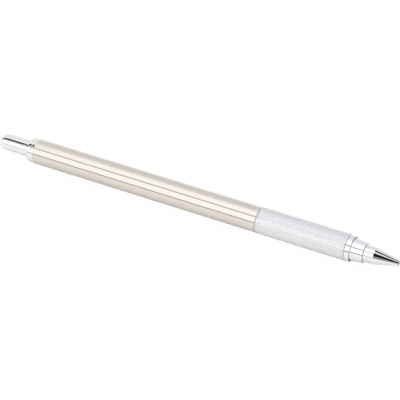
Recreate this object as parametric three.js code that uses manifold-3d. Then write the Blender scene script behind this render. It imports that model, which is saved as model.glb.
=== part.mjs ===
// Engraving scribe pen: a clutch holder for a carbide needle, in the style of a metal lead holder.
// Millimetres, +Z up. The pen lies along X with its needle end towards +X, and rests on z = 0.
// Pushing the button moves the tube, the coupler and the collet forward against a spring. The ring
// then lets go of the collet's head, and the needle can be slid out of the nose or back into it.

import * as THREE from 'three';
import { mergeVertices } from 'three/addons/utils/BufferGeometryUtils.js';
import Module from 'manifold-3d';

const wasm = await Module();
wasm.setup();

// Fits: radial room of a fixed spigot, radial room of a moving piece, and the gap at a flat seat
const spigotFit = 0.05;
const slideFit = 0.08;
const seatGap = 0.03;

// Lengths that show, from the button to the tip
const capShows = 10.7;
const collarShows = 2.73;
const barrelLength = 79.95;
const flangeThickness = 0.25;
const knurlLength = 29.45;
const ringLength = 1.74;
const shoulderLength = 4.04;
const bandLength = 3.05;
const coneLength = 7.74;

// The needle and the walls round it, from the middle out to the barrel
const needleRadius = 0.6;
const colletWall = 0.47;
const couplerWall = 0.3;
const tubeWall = 0.35;
const linerWall = 0.28;
const capWall = 0.45;
const collarWall = 0.54;
const barrelWall = 0.7;

// The walls round the clutch, out to the nose
const sleeveWall = 0.4;
const noseStemWall = 0.67;
const tipWall = 0.28;
const bushWall = 0.4;
const clutchRingWall = 0.32;

// Steps between neighbouring outsides
const collarStep = 0.1;
const jointRecess = 0.13;
const jointRingWall = 0.22;
const knurlProud = 0.08;
const ringDrop = 0.05;
const ringTaper = 0.14;
const shoulderRise = 0.39;
const shoulderTaper = 0.19;
const bandLip = 0.25;
const gripWaistStep = 0.1;
const colletHeadRise = 0.37;

// Edges
const capRoundLength = 2.0;
const capRoundHeight = 1.35;
const collarRoundLength = 1.15;
const collarRoundHeight = 0.76;
const collarGroove = 0.14;
const collarLand = 0.72;
const barrelEdge = 0.12;
const gripEdge = 0.3;
const stepEdge = 0.1;

// Button and reservoir tube
const capEndWall = 0.8;
const buttonTravel = 3.0;
const capHidden = 4.0;
const stopGap = 0.35;
const linerLength = 9.0;
const plugHead = 1.2;
const plugSpigot = 3.0;
const guideLength = 6.0;

// Union between the barrel and the grip, and the grip's threads
const unionRearLength = 10.0;
const unionFrontLength = 8.0;
const unionWeb = 0.9;
const sleeveSocketDepth = 3.2;
const noseStemLength = 8.0;
const shoulderSeatDepth = 0.3;
const tipStemLength = 2.2;
const threadRelief = 0.4;

// Clutch
const springStopLength = 1.6;
const clutchRingLength = 2.4;
const clutchRingTravel = 1.5;
const clutchRingStopGap = 0.4;
const colletLength = 24.0;
const colletTaper = 2.8;
const colletFrontGap = 0.75;
const headClearance = 0.25;
const slitWidth = 0.25;
const slitLength = 13.0;
const slitCount = 3;
const couplerSpigot = 6.0;
const couplerFlange = 1.9;
const couplerSocket = 4.9;
const springCoils = 11;
const wireRadius = 0.15;

// Needle, and the bush that steadies it in the nose
const shankLength = 42.0;
const carbideLength = 4.0;
const pointLength = 2.4;
const pointSetback = 0.9;
const brazePinRadius = 0.3;
const brazePinLength = 2.5;
const brazeFit = 0.03;
const nosePassage = 4.8;
const bushLength = 3.3;

// Sides of the turned pieces, whose flats face straight down and straight up
const outerSides = 40;
const innerSides = 20;
const roundSteps = 6;

// Radii, from the middle out to the barrel
const colletBore = needleRadius + slideFit;
const colletStemRadius = colletBore + colletWall;
const colletHeadRadius = colletStemRadius + colletHeadRise;
const couplerBore = colletStemRadius + spigotFit;
const couplerSpigotRadius = couplerBore + couplerWall;
const tubeBore = couplerSpigotRadius + spigotFit;
const tubeRadius = tubeBore + tubeWall;
const tubeGuideBore = tubeRadius + slideFit;
const linerBore = tubeRadius + spigotFit;
const linerRadius = linerBore + linerWall;
const capBore = linerRadius + spigotFit;
const capRadius = capBore + capWall;
const collarBore = capRadius + slideFit;
const barrelSpigot = collarBore + collarWall;
const barrelBore = barrelSpigot + spigotFit;
const barrelRadius = barrelBore + barrelWall;
const collarRadius = barrelRadius - collarStep;

// Radii of the joint, the grip and the nose
const jointRingRadius = barrelRadius - jointRecess;
const flangeRadius = jointRingRadius - jointRingWall - spigotFit;
const knurlRadius = barrelRadius + knurlProud;
const ringRearRadius = knurlRadius - ringDrop;
const ringFrontRadius = ringRearRadius - ringTaper;
const sleeveRadius = tubeGuideBore + sleeveWall;
const sleeveSocket = sleeveRadius + spigotFit;
const noseStemRadius = sleeveSocket + noseStemWall;
const noseSocket = noseStemRadius + spigotFit;
const gripWaistRadius = noseStemRadius - gripWaistStep;
const shoulderRearRadius = noseStemRadius + shoulderRise;
const shoulderFrontRadius = shoulderRearRadius - shoulderTaper;
const shoulderSocket = shoulderRearRadius + spigotFit;
const bandRadius = sleeveRadius + bandLip;
const tipRadius = colletBore + tipWall;
const headRoom = colletHeadRadius + headClearance;
const bushRadius = colletBore + bushWall;
const bushSocket = bushRadius + spigotFit;
const axisHeight = knurlRadius * Math.cos(Math.PI / outerSides);

// Places along the pen that show, from the button to the tip
const jointWidth = flangeThickness + 2 * seatGap;
const gripLength = knurlLength + ringLength;
const noseLength = shoulderLength + bandLength + coneLength;
const totalLength = capShows + collarShows + barrelLength + jointWidth + gripLength + noseLength;
const capX = -totalLength / 2;
const collarX = capX + capShows;
const barrelX = collarX + collarShows;
const barrelEndX = barrelX + barrelLength;
const flangeX = barrelEndX + seatGap;
const flangeEndX = flangeX + flangeThickness;
const gripX = flangeEndX + seatGap;
const knurlEndX = gripX + knurlLength;
const gripEndX = gripX + gripLength;
const bandX = gripEndX + shoulderLength;
const coneX = bandX + bandLength;
const tipX = coneX + coneLength;

// Places inside
const capFrontX = collarX + capHidden;
const collarEndX = capFrontX + buttonTravel + stopGap;
const capInnerX = capX + capEndWall;
const plugX = capInnerX + seatGap;
const tubeX = plugX + plugHead + seatGap;
const unionEndX = flangeEndX + unionFrontLength;
const sleeveX = unionEndX - sleeveSocketDepth;
const sleeveSeatX = bandX - tipStemLength;
const sleeveEndX = sleeveSeatX - seatGap;
const mouthX = sleeveEndX - clutchRingLength - clutchRingTravel - clutchRingStopGap;
const springStopX = mouthX - springStopLength;
const clutchRingX = mouthX + seatGap;
const clutchRingEndX = clutchRingX + clutchRingLength;
const colletEndX = sleeveEndX - colletFrontGap;
const colletX = colletEndX - colletLength;
const couplerEndX = colletX + couplerSocket - seatGap;
const couplerFlangeX = couplerEndX - couplerFlange;
const couplerX = couplerFlangeX - couplerSpigot;
const tubeEndX = couplerFlangeX - seatGap;
const headRoomX = colletEndX + buttonTravel + colletFrontGap;
const passageX = tipX - nosePassage;
const pointEndX = tipX - pointSetback;
const carbideX = pointEndX - pointLength - carbideLength;
const shankEndX = carbideX - seatGap;
const shankX = shankEndX - shankLength;

const finishes = {
  polishedChrome: { color: 0xe4e5e8, roughness: 0.08, metalness: 1 },
  brushedSteel: { color: 0xd3c9bb, roughness: 0.3, metalness: 1 },
  satinAluminium: { color: 0xdcdee2, roughness: 0.35, metalness: 1 },
  brass: { color: 0xc9a860, roughness: 0.3, metalness: 1 },
  springSteel: { color: 0xa8abb0, roughness: 0.3, metalness: 1 },
  carbide: { color: 0x6f7175, roughness: 0.35, metalness: 1 },
  whiteAcetal: { color: 0xe9e8e2, roughness: 0.5, metalness: 0 },
  blackRubber: { color: 0x1c1c1e, roughness: 0.8, metalness: 0 },
};

const pen = new THREE.Group();
pen.position.z = axisHeight;

function add(name, geometry, finish) {
  const mesh = new THREE.Mesh(geometry, new THREE.MeshStandardMaterial(finishes[finish]));
  mesh.name = name;
  pen.add(mesh);
}

// A turned piece. Its outline is a list of [x, radius] points that goes out at the rear end,
// forward along the outside, in at the front end and back along the bore.
function turned(outline, sides) {
  const points = outline.map(([x, radius]) => new THREE.Vector2(radius, x));
  if (points[0].x > 0) points.push(points[0].clone());
  const geometry = new THREE.LatheGeometry(points, sides, Math.PI / sides);
  return geometry.rotateZ(-Math.PI / 2);
}

function tube(x, endX, bore, radius) {
  return [[x, bore], [x, radius], [endX, radius], [endX, bore]];
}

// A quarter of an ellipse that rises from [x, radius] along +X, without its first point
function risingRound(x, radius, length, height) {
  return Array.from({ length: roundSteps }, (_, i) => {
    const angle = ((i + 1) / roundSteps) * (Math.PI / 2);
    return [x + length * (1 - Math.cos(angle)), radius + height * Math.sin(angle)];
  });
}

function toManifold(geometry) {
  const bare = geometry.clone();
  bare.deleteAttribute('normal');
  bare.deleteAttribute('uv');
  const merged = mergeVertices(bare, 1e-5);
  return new wasm.Manifold(new wasm.Mesh({
    numProp: 3,
    vertProperties: merged.attributes.position.array,
    triVerts: new Uint32Array(merged.index.array),
  }));
}

function toGeometry(manifold) {
  const mesh = manifold.getMesh();
  const geometry = new THREE.BufferGeometry();
  geometry.setAttribute('position', new THREE.BufferAttribute(mesh.vertProperties, 3));
  geometry.setIndex(new THREE.BufferAttribute(mesh.triVerts, 1));
  return geometry;
}

function pushCap() {
  const faceRadius = capRadius - capRoundHeight;
  return turned([
    [capX, 0],
    [capX, faceRadius],
    ...risingRound(capX, faceRadius, capRoundLength, capRoundHeight),
    [capFrontX - stepEdge, capRadius],
    [capFrontX, capRadius - stepEdge],
    [capFrontX, capBore],
    [capInnerX, capBore],
    [capInnerX, 0],
  ], outerSides);
}

function capLiner() {
  return turned(tube(plugX, plugX + linerLength, linerBore, linerRadius), outerSides);
}

function reservoirPlug() {
  const seatX = plugX + plugHead;
  return turned([
    [plugX, 0],
    [plugX, tubeRadius],
    [seatX, tubeRadius],
    [seatX, tubeBore - spigotFit],
    [seatX + plugSpigot, tubeBore - spigotFit],
    [seatX + plugSpigot, 0],
  ], innerSides);
}

// The collar has a rounded rim, a fine groove and a short land before the barrel. Its spigot is a
// press fit in the barrel, and its bore guides the cap.
function rearCollar() {
  const landX = barrelX - seatGap - collarLand;
  const rimRadius = collarRadius - collarRoundHeight;
  return turned([
    [collarX, collarBore],
    [collarX, rimRadius],
    ...risingRound(collarX, rimRadius, collarRoundLength, collarRoundHeight),
    [landX - 2 * collarGroove, collarRadius],
    [landX - collarGroove, collarRadius - collarGroove],
    [landX, collarRadius],
    [barrelX - seatGap, collarRadius],
    [barrelX - seatGap, barrelSpigot],
    [collarEndX, barrelSpigot],
    [collarEndX, collarBore],
  ], outerSides);
}

function tubeGuide() {
  const x = collarEndX + seatGap;
  return turned(tube(x, x + guideLength, tubeGuideBore, barrelSpigot), outerSides);
}

function barrelTube() {
  return turned([
    [barrelX, barrelBore],
    [barrelX, barrelRadius - barrelEdge],
    [barrelX + barrelEdge, barrelRadius],
    [barrelEndX - barrelEdge, barrelRadius],
    [barrelEndX, barrelRadius - barrelEdge],
    [barrelEndX, barrelBore],
  ], outerSides);
}

// The union joins the barrel to the grip, and its front end holds the clutch sleeve
function frontUnion() {
  const rearX = flangeX - unionRearLength;
  const socketX = sleeveX - seatGap;
  return turned([
    [rearX, sleeveSocket],
    [rearX, barrelSpigot],
    [flangeX, barrelSpigot],
    [flangeX, flangeRadius],
    [flangeEndX, flangeRadius],
    [flangeEndX, barrelSpigot],
    [unionEndX, barrelSpigot],
    [unionEndX, sleeveSocket],
    [socketX, sleeveSocket],
    [socketX, tubeGuideBore],
    [socketX - unionWeb, tubeGuideBore],
    [socketX - unionWeb, sleeveSocket],
  ], outerSides);
}

// The thin spacer ring round the union's flange, set in a little between the barrel and the grip
function jointRing() {
  return turned(tube(flangeX, flangeEndX, flangeRadius + spigotFit, jointRingRadius), outerSides);
}

// The nose holder's shoulder sits in a shallow counterbore, so the ring's front face stays clear
function gripSleeve() {
  const rearThreadEndX = unionEndX + threadRelief;
  const frontThreadX = gripEndX - noseStemLength - threadRelief;
  const shoulderSeatX = gripEndX - shoulderSeatDepth;
  return turned([
    [gripX, barrelBore],
    [gripX, knurlRadius - gripEdge],
    [gripX + gripEdge, knurlRadius],
    [knurlEndX, knurlRadius],
    [knurlEndX, ringRearRadius],
    [gripEndX - stepEdge, ringFrontRadius],
    [gripEndX, ringFrontRadius - stepEdge],
    [gripEndX, shoulderSocket],
    [shoulderSeatX, shoulderSocket],
    [shoulderSeatX, noseSocket],
    [frontThreadX, noseSocket],
    [frontThreadX, gripWaistRadius],
    [rearThreadEndX, gripWaistRadius],
    [rearThreadEndX, barrelBore],
  ], outerSides);
}

function noseHolder() {
  const stemX = gripEndX - noseStemLength;
  const shoulderX = gripEndX - shoulderSeatDepth + seatGap;
  const endX = bandX - seatGap;
  return turned([
    [stemX, sleeveSocket],
    [stemX, noseStemRadius],
    [shoulderX, noseStemRadius],
    [shoulderX, shoulderRearRadius],
    [gripEndX, shoulderRearRadius],
    [endX - stepEdge, shoulderFrontRadius],
    [endX, shoulderFrontRadius - stepEdge],
    [endX, sleeveSocket],
  ], outerSides);
}

function noseTip() {
  return turned([
    [sleeveSeatX, headRoom],
    [sleeveSeatX, sleeveRadius],
    [bandX, sleeveRadius],
    [bandX, bandRadius],
    [coneX, bandRadius],
    [tipX, tipRadius],
    [tipX, colletBore],
    [passageX, colletBore],
    [passageX, bushSocket],
    [headRoomX, bushSocket],
    [headRoomX, headRoom],
  ], outerSides);
}

function needleBush() {
  const endX = passageX - seatGap;
  return turned(tube(endX - bushLength, endX, colletBore, bushRadius), innerSides);
}

function reservoirTube() {
  return turned(tube(tubeX, tubeEndX, tubeBore, tubeRadius), innerSides);
}

function tubeCoupler() {
  return turned([
    [couplerX, colletBore],
    [couplerX, couplerSpigotRadius],
    [couplerFlangeX, couplerSpigotRadius],
    [couplerFlangeX, tubeRadius],
    [couplerEndX, tubeRadius],
    [couplerEndX, couplerBore],
    [colletX - seatGap, couplerBore],
    [colletX - seatGap, colletBore],
  ], innerSides);
}

// The sleeve holds the spring behind its inner stop, and the clutch ring in its mouth
function clutchSleeve() {
  const stopBore = colletStemRadius + slideFit;
  return turned([
    [sleeveX, tubeGuideBore],
    [sleeveX, sleeveRadius],
    [sleeveEndX, sleeveRadius],
    [sleeveEndX, tubeGuideBore],
    [mouthX, tubeGuideBore],
    [mouthX, stopBore],
    [springStopX, stopBore],
    [springStopX, tubeGuideBore],
  ], innerSides);
}

// Radius of the collet's outside, which widens from its stem to its head
function colletRadiusAt(x) {
  const share = Math.min(1, Math.max(0, (x - mouthX) / colletTaper));
  return colletStemRadius + share * colletHeadRise;
}

function clutchRing() {
  const rearBore = colletRadiusAt(clutchRingX) + slideFit;
  const frontBore = colletRadiusAt(clutchRingEndX) + slideFit;
  const radius = Math.min(tubeRadius, frontBore + clutchRingWall);
  return turned([
    [clutchRingX, rearBore],
    [clutchRingX, radius],
    [clutchRingEndX, radius],
    [clutchRingEndX, frontBore],
  ], innerSides);
}

// The collet is slit lengthwise from its front end, so that its three jaws can spring apart
function collet() {
  const solid = toManifold(turned([
    [colletX, colletBore],
    [colletX, colletStemRadius],
    [mouthX, colletStemRadius],
    [mouthX + colletTaper, colletHeadRadius],
    [colletEndX - stepEdge, colletHeadRadius],
    [colletEndX, colletHeadRadius - stepEdge],
    [colletEndX, colletBore],
  ], innerSides));
  const innerReach = colletBore / 2;
  const outerReach = colletHeadRadius + slideFit;
  const slits = Array.from({ length: slitCount }, (_, i) => {
    const slit = new THREE.BoxGeometry(slitLength + slideFit, slitWidth, outerReach - innerReach);
    slit.translate(colletEndX + (slideFit - slitLength) / 2, 0, (outerReach + innerReach) / 2);
    slit.rotateX((i / slitCount) * 2 * Math.PI);
    return toManifold(slit);
  });
  return toGeometry(slits.reduce((rest, slit) => rest.subtract(slit), solid));
}

// The return spring: a round wire on a helix between the coupler and the stop in the sleeve
function returnSpring() {
  const meanRadius = (colletStemRadius + tubeGuideBore) / 2;
  const startX = couplerEndX + wireRadius + 2 * seatGap;
  const endX = springStopX - wireRadius - 2 * seatGap;
  class Helix extends THREE.Curve {
    getPoint(t, target = new THREE.Vector3()) {
      const angle = t * springCoils * 2 * Math.PI;
      return target.set(
        startX + t * (endX - startX),
        meanRadius * Math.sin(angle),
        meanRadius * Math.cos(angle),
      );
    }
  }
  const stepsPerCoil = 8;
  const wireSides = 5;
  const section = new THREE.Shape(Array.from({ length: wireSides }, (_, i) => {
    const angle = (i / wireSides) * 2 * Math.PI;
    return new THREE.Vector2(wireRadius * Math.cos(angle), wireRadius * Math.sin(angle));
  }));
  return new THREE.ExtrudeGeometry(section, {
    steps: springCoils * stepsPerCoil,
    extrudePath: new Helix(),
    bevelEnabled: false,
  });
}

function needleShank() {
  const pinBore = brazePinRadius + brazeFit;
  const pinBoreX = shankEndX - brazePinLength - brazeFit;
  return turned([
    [shankX, 0],
    [shankX, needleRadius - stepEdge],
    [shankX + stepEdge, needleRadius],
    [shankEndX, needleRadius],
    [shankEndX, pinBore],
    [pinBoreX, pinBore],
    [pinBoreX, 0],
  ], innerSides);
}

// The carbide has a thin tail that is brazed into the shank
function carbidePoint() {
  return turned([
    [shankEndX - brazePinLength, 0],
    [shankEndX - brazePinLength, brazePinRadius],
    [carbideX, brazePinRadius],
    [carbideX, needleRadius],
    [carbideX + carbideLength, needleRadius],
    [pointEndX, 0],
  ], innerSides);
}

add('push_cap', pushCap(), 'polishedChrome');
add('cap_liner', capLiner(), 'whiteAcetal');
add('reservoir_plug', reservoirPlug(), 'blackRubber');
add('rear_collar', rearCollar(), 'polishedChrome');
add('tube_guide', tubeGuide(), 'whiteAcetal');
add('barrel_tube', barrelTube(), 'brushedSteel');
add('front_union', frontUnion(), 'brass');
add('joint_ring', jointRing(), 'satinAluminium');
add('grip_sleeve', gripSleeve(), 'satinAluminium');
add('nose_holder', noseHolder(), 'polishedChrome');
add('nose_tip', noseTip(), 'polishedChrome');
add('needle_bush', needleBush(), 'blackRubber');
add('reservoir_tube', reservoirTube(), 'brass');
add('tube_coupler', tubeCoupler(), 'whiteAcetal');
add('clutch_sleeve', clutchSleeve(), 'brass');
add('clutch_ring', clutchRing(), 'brass');
add('collet', collet(), 'brass');
add('return_spring', returnSpring(), 'springSteel');
add('needle_shank', needleShank(), 'springSteel');
add('carbide_point', carbidePoint(), 'carbide');

export default pen;
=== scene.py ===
"""Looks of an engraving scribe pen: a clutch holder of chrome, brushed steel and knurled aluminium.

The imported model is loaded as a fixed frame. Every turned piece is rebuilt as a fine, smooth
surface that stands for its CAD node, and every piece gets a material made of nodes.
Sizes in the functions are millimetres unless a name says otherwise; meshes are in metres.
The pen lies along X with its needle end towards +X and rests on z = 0.
"""

import math

import bpy
import numpy as np
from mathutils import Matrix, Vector


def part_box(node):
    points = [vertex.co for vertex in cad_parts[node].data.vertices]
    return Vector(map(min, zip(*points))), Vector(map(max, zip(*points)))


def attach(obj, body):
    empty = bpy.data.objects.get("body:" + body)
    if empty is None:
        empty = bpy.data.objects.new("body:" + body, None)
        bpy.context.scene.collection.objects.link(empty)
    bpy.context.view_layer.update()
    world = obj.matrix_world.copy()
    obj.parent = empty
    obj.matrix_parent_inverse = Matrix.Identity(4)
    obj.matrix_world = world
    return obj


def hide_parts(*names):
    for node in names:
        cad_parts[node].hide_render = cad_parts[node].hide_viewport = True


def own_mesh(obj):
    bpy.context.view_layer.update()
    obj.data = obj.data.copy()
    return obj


bl_info = {
    "name": "Engraving scribe pen",
    "version": (1, 0, 0),
    "blender": (4, 5, 0),
    "location": "3D View > Sidebar > Scribe pen",
    "description": "Builds the surfaces, materials and stage of an engraving scribe pen",
    "category": "Add Mesh",
}

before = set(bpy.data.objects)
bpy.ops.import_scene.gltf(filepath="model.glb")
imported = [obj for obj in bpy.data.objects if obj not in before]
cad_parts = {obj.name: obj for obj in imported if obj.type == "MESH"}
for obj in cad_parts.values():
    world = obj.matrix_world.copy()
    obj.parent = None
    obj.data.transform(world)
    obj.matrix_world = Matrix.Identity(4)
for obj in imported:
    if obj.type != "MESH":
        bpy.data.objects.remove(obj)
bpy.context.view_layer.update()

MM = 0.001

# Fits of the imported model, in millimetres: a fixed spigot, a sliding piece and a flat seat
FIXED_FIT = 0.05
SLIDE_FIT = 0.08
SEAT_GAP = 0.03

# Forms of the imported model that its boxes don't give, in millimetres: (length, height) of a
# rounded edge, then depths, rises, tapers and walls
CAP_ROUND = (2.0, 1.35)
COLLAR_ROUND = (1.15, 0.76)
COLLAR_GROOVE = 0.14
COLLAR_LAND = 0.72
LAND_TAPER = 0.0126
CAP_TAPER = 0.06
GRIP_EDGE = 0.12
RING_LENGTH = 1.74
RING_DROP = 0.037
RING_TAPER = 0.14
RELIEF_GROOVE = 0.13
SHOULDER_RISE = 0.39
SHOULDER_TAPER = 0.19
SHOULDER_SEAT = 0.3
BAND_LENGTH = 3.05
TIP_WALL = 0.28
JOINT_RING_WALL = 0.22
THREAD_RELIEF = 0.4
WAIST_STEP = 0.1
UNION_WEB = 0.9
TUBE_WALL = 0.35
SPRING_STOP = 1.6
COLLET_RISE = 0.37
COLLET_TAPER = 2.8
HEAD_CLEARANCE = 0.25
HEAD_ROOM_LENGTH = 3.75
BRAZE_PIN = 0.3
BRAZE_FIT = 0.03
POINT_LENGTH = 2.4

# How far the corners of an outline are eased, in millimetres, and the corners that differ from that
EASE = 0.04
CAP_RIM_EASE = 0.1
BARREL_REAR_EASE = 0.12
BARREL_FRONT_EASE = 0.05
RELIEF_EASE = 0.02
RING_REAR_EASE = 0.03
STEP_EASE = 0.1
BAND_EASE = 0.06
CONE_EASE = 0.12
TIP_EASE = 0.05
NEEDLE_EASE = 0.1

# The knurl: samples to a pitch, the slope at either end of it in millimetres, and half the width of
# a groove and the reach of the painted shade round a crossing, in pitches
KNURL_SAMPLES = 8
KNURL_SLOPE = 0.05
GROOVE_HALF = 0.22
CROSSING_REACH = 0.38

# How far out from the socket in the grip's front the bright plating starts, in millimetres
PLATING_RIM = 0.01

# The spring: points to a turn, points round the wire, rise of the closed coil in wire radii, and
# points either way over which its pitch changes
TURN_POINTS = 28
WIRE_POINTS = 12
CLOSED_RISE = 2.2
PITCH_BLEND = 5

# Sides of the turned surfaces: outer pieces, barrel, inner pieces, bush of the nose and needle
OUTER_SIDES = 160
BARREL_SIDES = 192
INNER_SIDES = 96
BUSH_SIDES = 80
NEEDLE_SIDES = 64

# Painted shade, from 0 to 1, a grey painted in where shade falls: in the joint, where the knurl's
# grooves cross, in the relief groove, and on the end faces of the grip and of the shoulder. On an end
# face it reaches round the edge by the reach below, in millimetres, and at full strength it leaves
# the share below of the metal's own colour.
JOINT_PAINTED_SHADE = 0.9
KNURL_PAINTED_SHADE = 0.5
RELIEF_PAINTED_SHADE = 1.0
STEP_PAINTED_SHADE = 0.85
SHOULDER_PAINTED_SHADE = 0.2
PAINTED_SHADE_REACH = 0.03
PAINTED_SHADE_SHARE = 0.1

# Share of a moulded colour that is left in the dark of its grain
GRAIN_DARK = 0.85

# The studio's light by height angle round the pen: degrees, level and tone. The peak is the level
# that the ramp's colours are shares of.
STUDIO_PEAK = 1.5
STUDIO_LIGHT = (
    (-30, 1.0, "#FFFFFF"),
    (-1.2, 1.0, "#FFFFFF"),
    (1.4, 0.29, "#FFFFFF"),
    (5.3, 0.29, "#FFFFFF"),
    (8.9, 1.3, "#FCFEFF"),
    (50.7, 1.32, "#FCFEFF"),
    (53.6, 0.62, "#FFFFFF"),
    (61.2, 0.62, "#FFFFFF"),
    (65.6, 1.36, "#FAFBFF"),
    (95, 1.3, "#FAFBFF"),
    (112, 0.95, "#FAFBFF"),
    (130, 0.84, "#FAFBFF"),
    (160, 0.82, "#FAFBFF"),
    (180, 0.9, "#FFFFFF"),
    (210, 0.9, "#FFFFFF"),
)

# Screens by the pen: lowest and highest height angle, lowest and highest x of the direction, how
# softly they end along x, and their level. The first is a bright side wall, the second a grey one
# beyond it and the third the paler end of the wall behind. The others are dark flags, but for the
# last but one, which is the bright gap between two of them. In height angle, each screen fades out
# over SCREEN_BLEND degrees.
SCREEN_BLEND = 2.0
SCREENS = (
    (-10, 122, 0.02, 2.0, 0.06, 1.35),
    (-10, 190, 0.75, 2.0, 0.1, 0.45),
    (125, 190, -2.0, -0.447, 0.01, 0.87),
    (66, 94.5, -0.93, -0.4645, 0.0015, 0.08),
    (60, 180, -2.0, -0.957, 0.01, 0.12),
    (-0.2, 8.6, -0.24, -0.09, 0.02, 0.22),
    (52.3, 62.6, -0.24, -0.09, 0.02, 0.45),
    (-10, 31, 0.09, 0.26, 0.02, 0.3),
    (31, 74, 0.09, 0.26, 0.02, 0.01),
    (74, 94, 0.09, 0.26, 0.02, 1.0),
    (94, 120, 0.065, 0.26, 0.02, 0.01),
)

# The paper: its two shades, how far from the pen's axis the polished metal sees its shadow and from
# where it sees white, in metres, the share of white there and for the camera, and the points round
# the sheet and rings in it
PAPER_SHADES = ("#F4F4F4", "#FAFAFA")
SHADOW_REACH = (0.004, 0.015)
METAL_WHITE = 0.95
CAMERA_WHITE = 0.97
FLOOR_SIDES = 96
FLOOR_RINGS = 6

# The camera's sensor in millimetres, and its clipping distances in metres
SENSOR_WIDTH = 36
CLIPPING = (0.01, 20)

# Flat sides of the CAD's outer and inner turned nodes
OUTER_FLATS = 40
INNER_FLATS = 20

AXIS_Z = (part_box("barrel_tube")[0].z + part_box("barrel_tube")[1].z) / 2 / MM


def linear(colour):
    """An sRGB hex colour as linear red, green, blue and an alpha of one."""
    channels = [int(colour[i : i + 2], 16) / 255 for i in (1, 3, 5)]
    return [c / 12.92 if c <= 0.04045 else ((c + 0.055) / 1.055) ** 2.4 for c in channels] + [1.0]


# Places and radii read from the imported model


def span(node):
    """Rear and front end of a CAD node along the pen."""
    low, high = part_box(node)
    return low.x / MM, high.x / MM


def radius_of(node, flats=OUTER_FLATS):
    """Radius of a CAD node out to the corners of its flat sides.

    It is half the node's height over the cosine of half the angle of a side.
    """
    low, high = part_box(node)
    return (high.z - low.z) / 2 / MM / math.cos(math.pi / flats)


# Surfaces


def quarter_round(x, radius, length, height, steps=20):
    """A quarter of an ellipse that rises from (x, radius) along +X, without its first point.

    x grows by length times one minus the cosine, and the radius by height times the sine.
    """
    angle = np.linspace(0, math.pi / 2, steps + 1)[1:]
    xs = x + length * (1 - np.cos(angle))
    radii = radius + height * np.sin(angle)
    return [(a, b, 0) for a, b in zip(xs.tolist(), radii.tolist())]


def eased_corner(before, corner, after, ease, steps=4):
    """A corner as a short parabola that touches both of its sides.

    Its points are the corner plus (1 - t) squared times the way to the side before, plus t squared
    times the way to the side after, each as long as the ease but at most 0.45 of its side.
    """
    before, corner, after = (np.array(p[:2], float) for p in (before, corner, after))
    back, ahead = before - corner, after - corner
    back_length, ahead_length = np.linalg.norm(back), np.linalg.norm(ahead)
    reach = min(ease, 0.45 * back_length, 0.45 * ahead_length)
    t = np.linspace(0, 1, steps + 1)[:, None]
    return corner + reach * ((1 - t) ** 2 * back / back_length + t**2 * ahead / ahead_length)


def fine_outline(corners, longest=3.0, support=0.05):
    """The outline of a turned piece with eased corners and enough points along its sides.

    A corner is (x, radius) or (x, radius, ease of its own). A side longer than four supports gets a
    point one support from each end, which keeps its shading flat up to the corners, and even steps
    of at most the longest length between them.
    """
    closed = corners[0][1] > 0
    count = len(corners)
    stretches = []
    for i, corner in enumerate(corners):
        ease = corner[2] if len(corner) > 2 else EASE
        if ease == 0 or (not closed and i in (0, count - 1)):
            stretches.append(np.array([corner[:2]], float))
        else:
            after = corners[(i + 1) % count]
            stretches.append(eased_corner(corners[i - 1], corner, after, ease))
    points = []
    for i, stretch in enumerate(stretches):
        points.append(stretch)
        if i == count - 1 and not closed:
            break
        start, end = stretch[-1], stretches[(i + 1) % count][0]
        length = np.linalg.norm(end - start)
        if length > 4 * support:
            inner = np.linspace(support, length - support, max(2, math.ceil(length / longest) + 1))
            points.append(start + (end - start) * inner[:, None] / length)
    return np.concatenate(points)


def make_object(name, vertices, faces, materials, marks=None, film=None):
    """A smooth mesh object at the origin, from millimetres.

    marks gives the material of each face, and the last argument how much painted shade lies on each
    vertex, 0 to 1: a grey that stands for the shade in grooves, joints and inside corners.
    """
    mesh = bpy.data.meshes.new(name)
    mesh.from_pydata((np.asarray(vertices) * MM).tolist(), [], faces)
    for material in materials:
        mesh.materials.append(material)
    if marks is not None:
        mesh.polygons.foreach_set("material_index", marks)
    # Painted shade, a grey for the shade in grooves, joints and inside corners, kept as a point
    # attribute
    if film is not None:
        mesh.attributes.new("film", "FLOAT", "POINT").data.foreach_set("value", film)
    mesh.shade_smooth()
    mesh.update()
    piece = bpy.data.objects.new(name, mesh)
    bpy.context.scene.collection.objects.link(piece)
    return piece


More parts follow.
